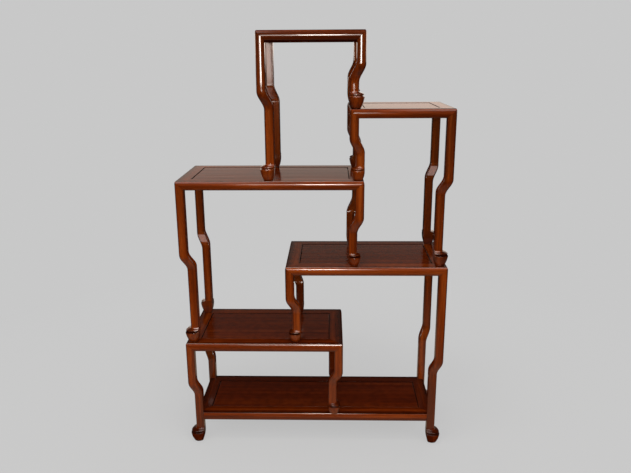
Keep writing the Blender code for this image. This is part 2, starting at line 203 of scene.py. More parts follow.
# lacquered rosewood, its grain along the length of each piece
rosewoodLook = {
    "dark": (0.080, 0.0090, 0.0008, 1),
    "mid": (0.182, 0.0235, 0.0016, 1),
    "pale": (0.295, 0.0500, 0.0050, 1),
    # colour of wear, and of the painted shade on edges
    "worn": (0.050, 0.0060, 0.0008, 1),
    # colour of the painted shade in hollows and creases
    "deep": (0.022, 0.0030, 0.0006, 1),
    "pore": (0.030, 0.0040, 0.0006, 1),
    "streaks": 85,          # across the grain, per metre
    "stretch": 2.4,         # along it
    "bands": 0.35,          # share of the broad bands in the grain
    "fibres": 1100,
    "planing": 0.10,        # how much the planed face ripples
    "roughness": 0.45,
    "specular": 0.6,        # warm gleam of the wood itself, under its lacquer
    "gleam": (1.0, 0.26, 0.03, 1),
    "coat": 1.0,
    "coatRoughness": 0.06,
    "coatIor": 1.7,
}
panelLook = dict(rosewoodLook)
panelLook.update({
    "dark": (0.096, 0.0105, 0.0008, 1),
    "mid": (0.145, 0.0172, 0.0012, 1),
    "pale": (0.200, 0.0300, 0.0028, 1),
    "worn": (0.045, 0.0050, 0.0008, 1),
    "streaks": 62,
    "stretch": 0.9,
    "bands": 0.20,
    "planing": 0.28,
    "specular": 0.0,
    "coat": 0.5,
    "coatRoughness": 0.12,
    "coatIor": 1.5,
})
railLook = dict(rosewoodLook)
railLook.update({"specular": 0.25, "coatRoughness": 0.12, "coatIor": 1.58})
plainLook = dict(railLook)      # ends, back rails and dull feet
plainLook.update({"specular": 0.0, "coat": 0.5, "coatIor": 1.5})
topRailLook = dict(rosewoodLook)
topRailLook.update({
    "dark": (0.040, 0.0042, 0.0008, 1),
    "mid": (0.078, 0.0090, 0.0011, 1),
    "pale": (0.130, 0.0200, 0.0026, 1),
    "specular": 0.3,
    "coatRoughness": 0.11,
    "coatIor": 1.68,
})
dullLook = dict(rosewoodLook)
dullLook.update({"coatRoughness": 0.11, "planing": 0.2})
bareLook = dict(rosewoodLook)   # undersides, and places where the lacquer is rubbed off
bareLook.update({"specular": 0.0, "coat": 0.0})
shadeWoodLook = dict(panelLook)      # near-black: painted shade inside grooves, reveals and throats, where no polish reaches either
shadeWoodLook.update({
    "dark": (0.014, 0.0022, 0.0006, 1),
    "mid": (0.020, 0.0030, 0.0007, 1),
    "pale": (0.028, 0.0042, 0.0008, 1),
    "roughness": 0.80,
    "coat": 0.0,
})
battenLook = dict(rosewoodLook)
battenLook.update({
    "dark": (0.080, 0.030, 0.012, 1),
    "mid": (0.150, 0.066, 0.028, 1),
    "pale": (0.220, 0.105, 0.048, 1),
    "worn": (0.100, 0.040, 0.016, 1),
    "roughness": 0.55,
    "specular": 0.3,
    "coat": 0.0,
})


# how every wood is grained: scales are per metre, along the grain and then across it
graining = {
    "logShift": (31.7, 17.3, 23.9),     # every piece comes out of another part of the log
    "bandScale": (1.3, 9, 9),
    "fibreLength": 22,
    "poreLength": 38,
    "poreWidth": 0.7,                   # against the fibres
    "poreFrom": (0.60, 0.70),
    "poreShade": 0.55,
    "fibreShare": 0.15,
    "chanceShare": 0.07,                # how much the pieces differ in tone
    "toneStops": (0.38, 0.50, 0.62),
    "patchScale": (40, 40, 40),
    "wearShadeShare": (0.38, 0.66, 0.45, 0.90),     # noise from and to, share of wear and painted edge shade from and to
    # painted shade in hollows and creases, in patches: noise from and to, share from and to
    "grimed": (0.30, 0.65, 0.75, 0.95),
    "smudgeScale": (14, 26, 26),
    "smudged": (0.35, 0.65, -0.04, 0.06),   # noise from and to, roughness taken off and added
    "poreRoughness": 0.12,
    "fibreHeight": 0.35,
    "fibreBump": 0.22,
    "fibreDepth": 0.0002,
    "rippleScale": (3, 42, 42),
    "rippleDepth": 0.0010,
}


def makeWood(name, look, along):
    material = bpy.data.materials.new(name)
    material.use_nodes = True
    tree = material.node_tree
    shader = tree.nodes["Principled BSDF"]
    place = addNode(tree, "ShaderNodeTexCoord").outputs["Object"]
    parts = addNode(tree, "ShaderNodeSeparateXYZ", None, in0=place).outputs
    first, second, third = {"X": (0, 1, 2), "Y": (1, 0, 2), "Z": (2, 0, 1)}[along]
    grain = addNode(tree, "ShaderNodeCombineXYZ", None, in0=parts[first], in1=parts[second],
                    in2=parts[third]).outputs[0]
    chance = addNode(tree, "ShaderNodeObjectInfo").outputs["Random"]
    shiftX, shiftY, shiftZ = (worked(tree, "MULTIPLY", chance, far) for far in graining["logShift"])
    shift = addNode(tree, "ShaderNodeCombineXYZ", None, in0=shiftX, in1=shiftY, in2=shiftZ).outputs[0]
    grain = addNode(tree, "ShaderNodeVectorMath", {"operation": "ADD"}, in0=grain, in1=shift).outputs[0]
    streaks, fibres = look["streaks"], look["fibres"]
    pores = fibres * graining["poreWidth"]

    broad = noisy(tree, grain, graining["bandScale"], 2.0)
    streak = noisy(tree, grain, (look["stretch"], streaks, streaks), 3.0, 0.6, 0.25)
    fibre = noisy(tree, grain, (graining["fibreLength"], fibres, fibres), 2.0)
    pore = noisy(tree, grain, (graining["poreLength"], pores, pores), 1.0)
    poreMask = ranged(tree, pore, *graining["poreFrom"])

    streakShare = 1 - graining["fibreShare"] - look["bands"]
    tone = worked(tree, "ADD", worked(tree, "MULTIPLY", broad, look["bands"]),
                  worked(tree, "MULTIPLY", streak, streakShare))
    tone = worked(tree, "ADD", tone, worked(tree, "MULTIPLY", fibre, graining["fibreShare"]))
    byChance = worked(tree, "SUBTRACT", chance, 0.5)
    tone = worked(tree, "ADD", tone, worked(tree, "MULTIPLY", byChance, graining["chanceShare"]))
    # the piece's own tone, painted darker or paler for shade and light
    tone = worked(tree, "ADD", tone, painted(tree, "tone"))
    ramp = addNode(tree, "ShaderNodeValToRGB", None, in0=tone)
    stops = ramp.color_ramp.elements
    darkAt, midAt, paleAt = graining["toneStops"]
    stops[0].position, stops[0].color = darkAt, look["dark"]
    stops[1].position, stops[1].color = paleAt, look["pale"]
    stops.new(midAt).color = look["mid"]
    shaded = worked(tree, "MULTIPLY", poreMask, graining["poreShade"])
    colour = blended(tree, shaded, ramp.outputs[0], look["pore"])

    # arrises dark with wear and painted edge shade, hollows and creases dark with painted shade, both in
    # patches
    patchy = noisy(tree, place, graining["patchScale"], 3.0)
    wearShadeShare = worked(tree, "MULTIPLY", painted(tree, "wear"), ranged(tree, patchy, *graining["wearShadeShare"]))
    colour = blended(tree, wearShadeShare, colour, look["worn"])
    grimed = worked(tree, "MULTIPLY", painted(tree, "hollow"), ranged(tree, patchy, *graining["grimed"]))
    colour = blended(tree, grimed, colour, look["deep"])
    tree.links.new(colour, shader.inputs["Base Color"])

    smudge = noisy(tree, grain, graining["smudgeScale"], 3.0)
    low, high, less, more = graining["smudged"]
    rough = ranged(tree, smudge, low, high, look["roughness"] + less, look["roughness"] + more)
    rough = worked(tree, "ADD", rough, worked(tree, "MULTIPLY", poreMask, graining["poreRoughness"]))
    tree.links.new(rough, shader.inputs["Roughness"])

    height = worked(tree, "MULTIPLY", fibre, graining["fibreHeight"])
    height = worked(tree, "SUBTRACT", height, poreMask)
    bump = addNode(tree, "ShaderNodeBump", None, Strength=graining["fibreBump"],
                   Distance=graining["fibreDepth"], Height=height)
    ripple = noisy(tree, grain, graining["rippleScale"], 1.0)
    planed = addNode(tree, "ShaderNodeBump", None, Strength=look["planing"],
                     Distance=graining["rippleDepth"], Height=ripple)
    tree.links.new(planed.outputs[0], bump.inputs["Normal"])
    tree.links.new(bump.outputs[0], shader.inputs["Normal"])
    tree.links.new(planed.outputs[0], shader.inputs["Coat Normal"])
    shader.inputs["Specular IOR Level"].default_value = look["specular"]
    shader.inputs["Specular Tint"].default_value = look["gleam"]
    shader.inputs["Coat Weight"].default_value = look["coat"]
    shader.inputs["Coat Roughness"].default_value = look["coatRoughness"]
    shader.inputs["Coat IOR"].default_value = look["coatIor"]
    return material


woods = {
    "leg": makeWood("rosewood upright", rosewoodLook, "Z"),
    "dullLeg": makeWood("rosewood upright, dulled", dullLook, "Z"),
    "frontRail": makeWood("rosewood front rail", railLook, "X"),
    "rail": makeWood("rosewood lengthwise", plainLook, "X"),
    "end": makeWood("rosewood crosswise", plainLook, "Y"),
    "topRail": makeWood("rosewood top rail", topRailLook, "X"),
    "seam": makeWood("groove wood", shadeWoodLook, "X"),
    "bareLeg": makeWood("bare rosewood upright", bareLook, "Z"),
    "plainLeg": makeWood("plain rosewood upright", plainLook, "Z"),
    "bare": makeWood("bare rosewood lengthwise", bareLook, "X"),
    "bareEnd": makeWood("bare rosewood crosswise", bareLook, "Y"),
    "panel": makeWood("panel board", panelLook, "X"),
    "batten": makeWood("batten hardwood", battenLook, "Y"),
}
print("woods ready:", ", ".join(woods))


# outlines of the shelves, taken from the frame
def readShelf(tier):
    return {
        "left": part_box(tier + "_left_end")[0].x,
        "right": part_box(tier + "_right_end")[1].x,
        "front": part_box(tier + "_front_rail")[0].y,
        "back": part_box(tier + "_back_rail")[1].y,
        "top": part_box(tier + "_front_rail")[1].z,
    }


tiers = ("top", "right_high", "left_high", "right_low", "left_low", "base")
shelves = {tier: readShelf(tier) for tier in tiers}


def cornerPlace(shelf, side, face):
    # maps (inward along X, inward along Y, down) from a corner of the shelf
    xStart, xWay = (shelf["left"], 1) if side == "left" else (shelf["right"], -1)
    yStart, yWay = (shelf["front"], 1) if face == "front" else (shelf["back"], -1)

    def place(across, along, down):
        return Vector((xStart + xWay * across, yStart + yWay * along, shelf["top"] - down))

    return place


def pieceName(tier, part):
    words = (tier + "_" + part).split("_")
    return words[0] + "".join(word.capitalize() for word in words[1:])


# legs: straight, an S-bend inward, and a hoof foot under a rim
leg = {
    "bend": 0.020,
    "floorBend": 0.016,
    "bendHeight": 0.058,
    "bendLead": 0.010,      # the inner faces bend higher up than the outer ones
    "bendSteps": 24,
    "straightEnd": 0.004,   # rings that keep the straight parts flat
    "turnIn": 0.82,         # where the outer faces begin to turn to the inner ones
    # the foot's curves, from the ankle down
    "ankleRise": 0.0045,
    "ankleTurn": 0.0005,
    "ankleDrop": 0.0008,
    "ankleReach": 0.0045,
    "shoulderRise": 0.0120,
    "shoulderReach": 0.0152,
    "shoulderTurn": 0.0035,
    "lipTurn": 0.0016,
    "lipDrop": 0.0006,
    "lipBack": 0.0008,
    "throatHeight": 0.0052,
    "throatReach": 0.0130,
    "throatLip": 0.0010,
    "throatDeep": 0.0022,
    "throatIn": 0.0006,
    "throatFoot": 0.0003,
    "throatOut": 0.0008,
    "rimReach": 0.017,
    "rimThickness": 0.003,
    "rimBack": 0.0026,
    "rimStart": 0.0022,
    "rimRoll": 0.0024,
    "hoofSteps": 10,
    "hoofHeight": 0.033,
    "hoofSwell": 0.0015,
    "hoofCrown": 0.0065,
    "soleReach": 0.006,
    "soleInset": 0.006,
    "soleEase": 0.0012,
    "soleRoll": (0.0004, 0.0003),
    # painted shade in the foot's creases, throat and towards the sole, along the same curves, and the
    # darker worn colour that comes with it
    "ankleGrime": 0.1,      # more with each step down
    "shoulderShade": 0.6,
    "shoulderUnshaded": 6,     # steps of the shoulder above the full painted shade
    "rimShade": (1.0, 0.9, 0.8, 0.7, 0.3, 0.0),
    "hoofShade": 0.18,      # more painted shade with each step towards the sole, below the unshaded ones
    "hoofUnshaded": 7,
    "soleGrime": 0.5,
    "sideShade": 1.2,       # more painted shade on the far sides of the small feet
    "shadeToWear": 1.4,
    "edgeSlope": 2.4,       # painted shade towards the edges of a foot's faces, where they turn away from the light
    "edgeFrom": 1.1,
    "edgeReach": 0.006,
    "smallRise": 0.82,      # feet well inside the shelf below are lower
    "smallReach": 0.68,     # and reach out less
    # what each pair stands on, how far down the bend is as a share of the leg, and the size of its feet
    "stands": {
        ("top", "left"): ("left_high", 0.457, "full"),
        ("top", "right"): ("right_high", 0.543, "full"),
        ("right_high", "left"): ("left_high", 0.534, "small"),
        ("right_high", "right"): ("right_low", 0.489, "full"),
        ("left_high", "left"): ("left_low", 0.493, "full"),
        ("left_high", "right"): ("right_low", 0.528, "small"),
        ("right_low", "left"): ("left_low", 0.522, "small"),
        ("right_low", "right"): ("floor", 0.560, "full"),
        ("left_low", "left"): ("floor", 0.467, "full"),
        ("left_low", "right"): ("base", 0.507, "small"),
    },
    # less painted shade in the throats of these feet
    "wiped": {("top", "left"): 0.45, ("top", "right"): 0.45, ("right_high", "left"): 0.5},
    "dull": ("top_leg_back_left",),     # lacquer gone dull
    "dullFeet": (("right_low", "right"), ("left_low", "left"), ("left_low", "right")),
    # sticks painted darker or paler than the rest, above and below the bend: painted shade on the back legs
    # under the shelves above, painted shade and sheen on the front legs as the light falls on them
    "tones": {
        "top_leg_front_left": (-0.11, 0.03),
        "top_leg_front_right": (-0.08, 0.00),
        "top_leg_back_left": (-0.12, -0.12),
        "right_high_leg_front_left": (0.00, 0.09),
        "right_high_leg_back_left": (-0.12, -0.12),
        "right_high_leg_back_right": (-0.14, -0.14),
        "right_high_leg_front_right": (-0.03, -0.05),
        "left_high_leg_back_right": (-0.12, -0.12),
        "right_low_leg_back_left": (-0.20, -0.20),
        "left_low_leg_back_left": (-0.12, -0.12),
        "left_low_leg_back_right": (-0.20, -0.20),
        "left_high_leg_front_right": (0.02, 0.02),
        "right_low_leg_front_left": (0.00, 0.06),
        "right_low_leg_front_right": (0.07, -0.02),
        "left_low_leg_front_left": (0.06, -0.06),
        "left_low_leg_front_right": (0.04, 0.02),
    },
}


def legSection(reach, inset, crown):
    # points (across, along, wear and painted edge shade, how far round to the inner faces), round the
    # section
    width = stock["width"] + reach - inset
    nose, side, back = stock["noseEase"], stock["sideEase"], stock["backEase"]
    steps = stock["easeSteps"]
    corner = meetAt(width, crown)
    first, last = corner + nose, width - side
    firstPoint = (first, fallBack(first, width, crown))
    lastPoint = (last, fallBack(last, width, crown))
    turn = roundOver(firstPoint[::-1], (corner, corner), firstPoint, steps, 0.5, 1.0)
    half = [(a, b, 1.0, 0.0) for a, b in turn]
    for across in spread(first, last, stock["faceSteps"]):
        beyond = max(0.0, (across - first) / (last - first) - leg["turnIn"])
        half.append((across, fallBack(across, width, crown), 0.0, beyond / (1 - leg["turnIn"]) * 0.5))
    turn = roundOver(lastPoint, (width, crown), (width, crown + side), steps)
    half += [(a, b, 1.0, 0.5 + 0.5 * k / steps) for k, (a, b) in enumerate(turn)]
    half += [(width, b, 0.0, 1.0) for b in spread(crown + side, width - back, 4)]
    turn = roundOver((width, width - back), (width, width), (width - back, width), steps, 0.0, 0.5)
    half += [(a, b, 1.0, 1.0) for a, b in turn]
    other = [(b, a, worn, inward) for a, b, worn, inward in half[-2:0:-1]]
    return [(a - reach, b - reach, worn, inward) for a, b, worn, inward in half + other], len(half)


def hoofStations(size):
    # from the ankle down: height on the outer and the inner faces, reach, inset, crown, painted shade
    rimTop = leg["hoofHeight"] + leg["rimThickness"]
    rise, lip = rimTop + leg["shoulderRise"], rimTop + leg["throatHeight"]
    shoulder, throat, rim = leg["shoulderReach"], leg["throatReach"], leg["rimReach"]
    crown, hoofCrown = stock["crown"], leg["hoofCrown"]
    outline = []        # height, reach, painted shade
    ankleFoot = (rise - leg["ankleDrop"], leg["ankleReach"])
    turn = roundOver((rise + leg["ankleRise"], 0.0), (rise + leg["ankleTurn"], 0.0), ankleFoot, 6)
    outline += [(h, r, leg["ankleGrime"] * k) for k, (h, r) in enumerate(turn)]
    lipStart = (lip + leg["lipTurn"], shoulder)
    turn = roundOver(ankleFoot, (rise - leg["shoulderTurn"], shoulder), lipStart, 8)
    outline += [(h, r, leg["shoulderShade"] if k < leg["shoulderUnshaded"] else 1.0)
                for k, (h, r) in enumerate(turn)][1:]
    # a throat is cut in under the shoulder, then the rim rolls over to the hoof
    turn = roundOver(lipStart, (lip, shoulder), (lip - leg["lipDrop"], shoulder - leg["lipBack"]), 4)
    outline += [(h, r, 1.0) for h, r in turn[1:]]
    turn = roundOver((lip - leg["throatLip"], throat + leg["throatIn"]),
                     (lip - leg["throatDeep"], throat - leg["throatIn"]),
                     (rimTop + leg["throatFoot"], throat + leg["throatOut"]), 4)
    outline += [(h, r, 1.0) for h, r in turn]
    outline.append((rimTop, rim - leg["rimBack"], 1.0))
    turn = roundOver((rimTop, rim - leg["rimStart"]), (rimTop, rim), (rimTop - leg["rimRoll"], rim), 5)
    outline += [(h, r, deep) for (h, r), deep in zip(turn, leg["rimShade"])]
    top, bottom = outline[0][0], outline[-1][0]
    stations = []
    for k, (height, reach, deep) in enumerate(outline):
        inner = top + (bottom - top) * k / (len(outline) - 1)
        swelled = crown + (hoofCrown - crown) * min(reach / shoulder, 1.0)
        stations.append((height, inner, reach, 0.0, swelled, deep))
    for k in range(1, leg["hoofSteps"] + 1):
        left = 1 - k / leg["hoofSteps"]
        swell = leg["hoofSwell"] * math.sin(math.pi * left)
        height = bottom * left
        reach = leg["soleReach"] + (rim - leg["soleReach"]) * left + swell
        inset = leg["soleInset"] * (1 - left) - swell
        if k == leg["hoofSteps"]:
            ease, (out, back) = leg["soleEase"], leg["soleRoll"]
            stations.append((ease, ease, reach + out, inset - back, hoofCrown, leg["soleGrime"]))
            reach, inset = reach - ease, inset + ease
        deep = max(0, k - leg["hoofUnshaded"]) * leg["hoofShade"]
        stations.append((height, height, reach, inset, hoofCrown, deep))
    tall, wide = (leg["smallRise"], leg["smallReach"]) if size == "small" else (1.0, 1.0)
    return [(outer * tall, inner * tall, reach * wide, inset, crown, deep)
            for outer, inner, reach, inset, crown, deep in stations]


def makeLeg(tier, side, face):
    shelf = shelves[tier]
    support, share, size = leg["stands"][tier, side]
    onFloor = support == "floor"
    length = shelf["top"] if onFloor else shelf["top"] - shelves[support]["top"] - stock["fit"]
    bend = leg["floorBend"] if onFloor else leg["bend"]
    shadeFactor = leg["wiped"].get((tier, side), 1.0)
    place = cornerPlace(shelf, side, face)
    section, half = legSection(0.0, 0.0, stock["crown"])
    bendTop = length * share - leg["bendHeight"] / 2

    def bent(across, down):
        lead = leg["bendLead"] * across / stock["width"]
        part = min(max((down - bendTop + lead) / leg["bendHeight"], 0.0), 1.0)
        return across + bend * (1 - math.cos(math.pi * part)) / 2

    rings = [[(place(a, b, max(a, b) + mitreBack), worn, 0.0) for a, b, worn, inward in section]]
    bendStart, swing = bendTop - leg["bendLead"], leg["bendHeight"] + leg["bendLead"]
    levels = [stock["width"] + leg["straightEnd"], bendStart - leg["straightEnd"]]
    levels += [bendStart + swing * k / leg["bendSteps"] for k in range(leg["bendSteps"] + 1)]
    levels.append(levels[-1] + leg["straightEnd"])
    for down in levels:
        rings.append([(place(bent(a, down), bent(b, down), down), worn, 0.0)
                      for a, b, worn, inward in section])
    for outer, inner, reach, inset, crown, deep in hoofStations(size):
        ring = []
        for a, b, worn, inward in legSection(reach, inset, crown)[0]:
            down = length - (outer + (inner - outer) * inward)
            fromMiddle = abs((max(a, b) + reach) / (stock["width"] + reach - inset) - 0.5) * 2
            # painted shade in the throat and creases, less on the inner faces
            shadeHere = deep * shadeFactor * (1 - inward)
            if size == "small" and a < b:
                shadeHere *= leg["sideShade"]
            # painted shade towards the edges of the foot's faces
            edge = min(fromMiddle * leg["edgeSlope"] - leg["edgeFrom"], 1.0)
            edge *= min(reach / leg["edgeReach"], 1.0)
            worn = max(worn, edge, min(leg["shadeToWear"] * shadeHere, 1.0))
            ring.append((place(a + bend, b + bend, down), worn, min(shadeHere, 1.0)))
        rings.append(ring)
    bm = bmesh.new()
    loops = addRings(bm, rings)
    bm.faces.ensure_lookup_table()

    def rub(between, places, wood):
        for ring in between:
            for k in places:
                bm.faces[ring * len(section) + k].material_index = finish[wood]

    allRound = range(len(section))
    flat = stock["width"] - 1e-6
    innerFace = [k for k in range(half - 1) if min(section[k][0], section[k + 1][0]) > flat]
    outerSide = [k for k in allRound[half:] if section[k][3] < 0.5]
    shoulder = range(len(levels) + 1, len(rings) - leg["hoofSteps"] - 2)
    hoof = range(shoulder.stop, len(rings) - 1)
    rub(range(2, len(levels)), innerFace, "bare")
    if (tier, side) in leg["dullFeet"]:
        rub(shoulder, allRound, "plain")
    if size == "small":
        rub(shoulder, outerSide, "bare")
    if onFloor:
        rub(hoof, allRound, "bare")     # scuffed
    head, sole = loops[0], loops[-1]
    bm.faces.new(head[:half])
    bm.faces.new(head[half - 1:] + head[:1])
    bm.faces.new(sole)
    node = f"{tier}_leg_{face}_{side}"
    wood = woods["dullLeg" if node in leg["dull"] else "leg"]
    putPiece(pieceName(tier, f"{face}_{side}_leg"), bm, wood, node,
             leg["tones"].get(node, (0.0, 0.0)), ("seam", "bareLeg", "plainLeg"))


legCount = 0
for tier, side in leg["stands"]:
    for face in ("front", "back"):
        makeLeg(tier, side, face)
        legCount += 1
print("legs:", legCount)


# rails: crowned outside, grooved inside for the panel
rail = {
    "grooveDrop": 0.0049,
    "grooveHeight": 0.0051,
    "grooveDepth": 0.006,
    "topEase": 0.0014,
    "panelEase": 0.0007,
    "baseSetback": 0.0045,  # the base's rails stand back from the legs that pass them
    "shadeLine": 0.55,     # painted shade darkens the face from here down, where the crown turns away from the light, as a share of its height
    "shadeSlope": 2.2,
    "backWear": 0.6,
    "panelWear": 0.45,      # arris beside the panel
    "topWear": 0.35,
    # painted shade in the panel groove and on the arris beside the panel, and a dark line painted along the
    # upper arris
    "grooveShade": (0.3, 1.0, 1.0, 0.8),
    "panelGrime": (0.9, 0.7, 0.5, 0.3),
    "arrisDark": 0.9,
    "lessDarkArris": 0.4,      # on the rails whose upper arris is painted less dark
    "wiped": ("left_high_front_rail", "right_low_front_rail", "left_low_front_rail"),
    "rubbedTops": ("left_low", "base"),     # front rails with no lacquer left on top
    # pieces painted darker or paler: painted shade on the base's ends and back rail under the shelves
    # above, a painted sheen on the low right front rail
    "tones": {
        "top_front_rail": -0.06,
        "right_high_front_rail": 0.03,
        "right_low_front_rail": 0.12,
        "base_left_end": -0.22,
        "base_right_end": -0.08,
        "base_back_rail": -0.20,
    },
}


def railSection(legFace, arris):
    # points (inward, down, wear and painted edge shade, painted shade), and the places where the end
    # changes plane
    width, deep, crown = stock["width"], stock["railWidth"], stock["crown"]
    top, side, back, ease = rail["topEase"], stock["sideEase"], stock["backEase"], rail["panelEase"]
    corner = meetAt(width, crown)
    turn = roundOver((crown + top, 0.0), (crown, 0.0), (fallBack(top, width, crown), top), 5)
    points = [(a, d, 1.0, arris) for a, d in turn]
    points += [(fallBack(d, width, crown), d, 0.0, 0.0) for d in spread(top, corner, 2)]
    nose = len(points)
    points.append((fallBack(corner, width, crown), corner, 0.0, 0.0))
    for d in spread(corner, width - side, stock["faceSteps"]):
        lowShade = max(0.0, d / width - rail["shadeLine"]) * rail["shadeSlope"]
        points.append((fallBack(d, width, crown), d, lowShade, 0.0))
    turn = roundOver((fallBack(width - side, width, crown), width - side), (crown, width),
                     (crown + side, width), 4)
    points += [(a, d, 1.0, 0.0) for a, d in turn]
    under = len(points)
    points.append((legFace, width, 0.0, 0.0))
    turn = roundOver((deep - back, width), (deep, width), (deep, width - back), 4)
    points += [(a, d, rail["backWear"], 0.0) for a, d in turn]
    grooveTop, grooveBottom = rail["grooveDrop"], rail["grooveDrop"] + rail["grooveHeight"]
    grooveBack = deep - rail["grooveDepth"]
    groove = ((deep, grooveBottom), (grooveBack, grooveBottom), (grooveBack, grooveTop), (deep, grooveTop))
    points += [(a, d, 0.0, shadeFactor) for (a, d), shadeFactor in zip(groove, rail["grooveShade"])]
    turn = roundOver((deep, ease), (deep, 0.0), (deep - ease, 0.0), 3)
    points += [(a, d, rail["panelWear"], shadeFactor) for (a, d), shadeFactor in zip(turn, rail["panelGrime"])]
    over = len(points)
    points.append((legFace, 0.0, rail["topWear"], 0.0))
    return points, nose, under, over


def makeRail(tier, part, place, length):
    node = f"{tier}_{part}"
    mitred = tier != "base"
    legFace = stock["width"] if mitred else stock["width"] - rail["baseSetback"]
    arris = rail["lessDarkArris"] if node in rail["wiped"] else rail["arrisDark"]
    points, nose, under, over = railSection(legFace, arris)

    def cutAt(inward, down):
        return max(inward, down if mitred else legFace) + mitreBack

    rings = [[(place(cutAt(a, d), a, d), worn, deep) for a, d, worn, deep in points],
             [(place(length - cutAt(a, d), a, d), worn, deep) for a, d, worn, deep in points]]
    bm = bmesh.new()
    loops = addRings(bm, rings)
    bm.faces.ensure_lookup_table()

    def rub(places, wood):
        for k in places:
            bm.faces[k].material_index = finish[wood]

    rub(range(under - 1, under + 6), "bare")        # underside
    if part == "front_rail":
        rub(range(over - 3, over + 1), "bare" if tier in rail["rubbedTops"] else "plain")   # top
    if node == "top_front_rail":
        rub(range(nose - 2, nose), "bare")          # under the upper arris
    for loop in loops:
        if mitred:      # one plane meets the leg, the other the next rail
            bm.faces.new(loop[nose:under + 1])
            bm.faces.new(loop[under:] + loop[:nose + 1])
        else:
            bm.faces.new(loop[over:] + loop[:under + 1])
            bm.faces.new(loop[under:over + 1])
    lengthwise = part.endswith("rail")
    wood = "rail" if lengthwise else "end"
    if part == "front_rail":
        wood = "topRail" if tier == "top" else "frontRail"
    putPiece(pieceName(tier, part), bm, woods[wood], node, (rail["tones"].get(node, 0.0),) * 2,
             ("seam", "bare" if lengthwise else "bareEnd", "rail"))


for tier, shelf in shelves.items():
    across = shelf["right"] - shelf["left"]
    along = shelf["back"] - shelf["front"]
    for face in ("front", "back"):
        makeRail(tier, face + "_rail", cornerPlace(shelf, "left", face), across)
    for side in ("left", "right"):
        corner = cornerPlace(shelf, side, "front")
        makeRail(tier, side + "_end", lambda a, b, d, corner=corner: corner(b, a, d), along)
print("frames:", len(shelves))

# floating panels, and the battens that keep them flat
panel = {
    "drop": 0.0008,
    "thickness": 0.012,
    "reveal": 0.0025,       # open line round the panel
    "ease": 0.0009,
    "tongueDrop": 0.0052,
    "tongueThickness": 0.0045,
    "tongueReach": 0.005,
    "edgeWear": 0.7,
    # painted shade on the panel's edge, deeper down into the reveal
    "edgeShade": 0.2,       # more with each step down
    "underShade": 0.4,
}
batten = {
    "width": 0.024,
    "height": 0.011,
    "ease": 0.0020,
    "counts": {"top": 1, "right_high": 1, "left_high": 2, "right_low": 1, "left_low": 1, "base": 2},
}


def makePanel(tier, shelf):
    place = cornerPlace(shelf, "left", "front")
    across = shelf["right"] - shelf["left"]
    along = shelf["back"] - shelf["front"]
    edge = stock["railWidth"] + panel["reveal"]
    tongue = stock["railWidth"] - panel["tongueReach"]
    tongueTop, tongueBottom = panel["tongueDrop"], panel["tongueDrop"] + panel["tongueThickness"]
    bottom = panel["drop"] + panel["thickness"]
    turn = roundOver((edge + panel["ease"], panel["drop"]), (edge, panel["drop"]),
                     (edge, panel["drop"] + panel["ease"]), 4)
    stations = [(margin, down, panel["edgeWear"], panel["edgeShade"] * k)
                for k, (margin, down) in enumerate(turn)]
    # the tongue in the reveal gets the full painted shade
    stations += [(edge, tongueTop, 0.0, 1.0), (tongue, tongueTop, 0.0, 1.0),
                 (tongue, tongueBottom, 0.0, 1.0), (edge, tongueBottom, 0.0, panel["underShade"]),
                 (edge, bottom, 0.0, 0.0)]
    rings = []
    for margin, down, worn, deep in stations:
        corners = ((margin, margin), (across - margin, margin), (across - margin, along - margin),
                   (margin, along - margin))
        rings.append([(place(a, b, down), worn, deep) for a, b in corners])
    bm = bmesh.new()
    loops = addRings(bm, rings)
    bm.faces.new(loops[0])
    bm.faces.new(loops[-1]).material_index = finish["bare"]
    putPiece(pieceName(tier, "panel"), bm, woods["panel"], tier + "_panel")


def makeBatten(tier, shelf, suffix, middle):
    place = cornerPlace(shelf, "left", "front")
    along = shelf["back"] - shelf["front"]
    half, ease = batten["width"] / 2, batten["ease"]
    top = panel["drop"] + panel["thickness"] + stock["fit"]
    bottom = top + batten["height"]
    left = roundOver((middle - half, bottom - ease), (middle - half, bottom),
                     (middle - half + ease, bottom), 3)
    right = [(2 * middle - a, d) for a, d in reversed(left)]
    outline = [(middle - half, top, 0.0)]
    outline += [(a, d, 1.0) for a, d in left + right]
    outline.append((middle + half, top, 0.0))
    margin = stock["railWidth"] + stock["fit"]
    rings = [[(place(a, y, d), worn, 0.0) for a, d, worn in outline] for y in (margin, along - margin)]
    bm = bmesh.new()
    for loop in addRings(bm, rings):
        bm.faces.new(loop)
    node = f"{tier}_batten{suffix}"
    putPiece(pieceName(tier, "batten" + suffix), bm, woods["batten"], node)


for tier, shelf in shelves.items():
    makePanel(tier, shelf)
    count = batten["counts"][tier]
    for k in range(count):
        suffix = "" if count == 1 else ("_left", "_right")[k]
        makeBatten(tier, shelf, suffix, (shelf["right"] - shelf["left"]) * (k + 1) / (count + 1))
print("panels and battens done")

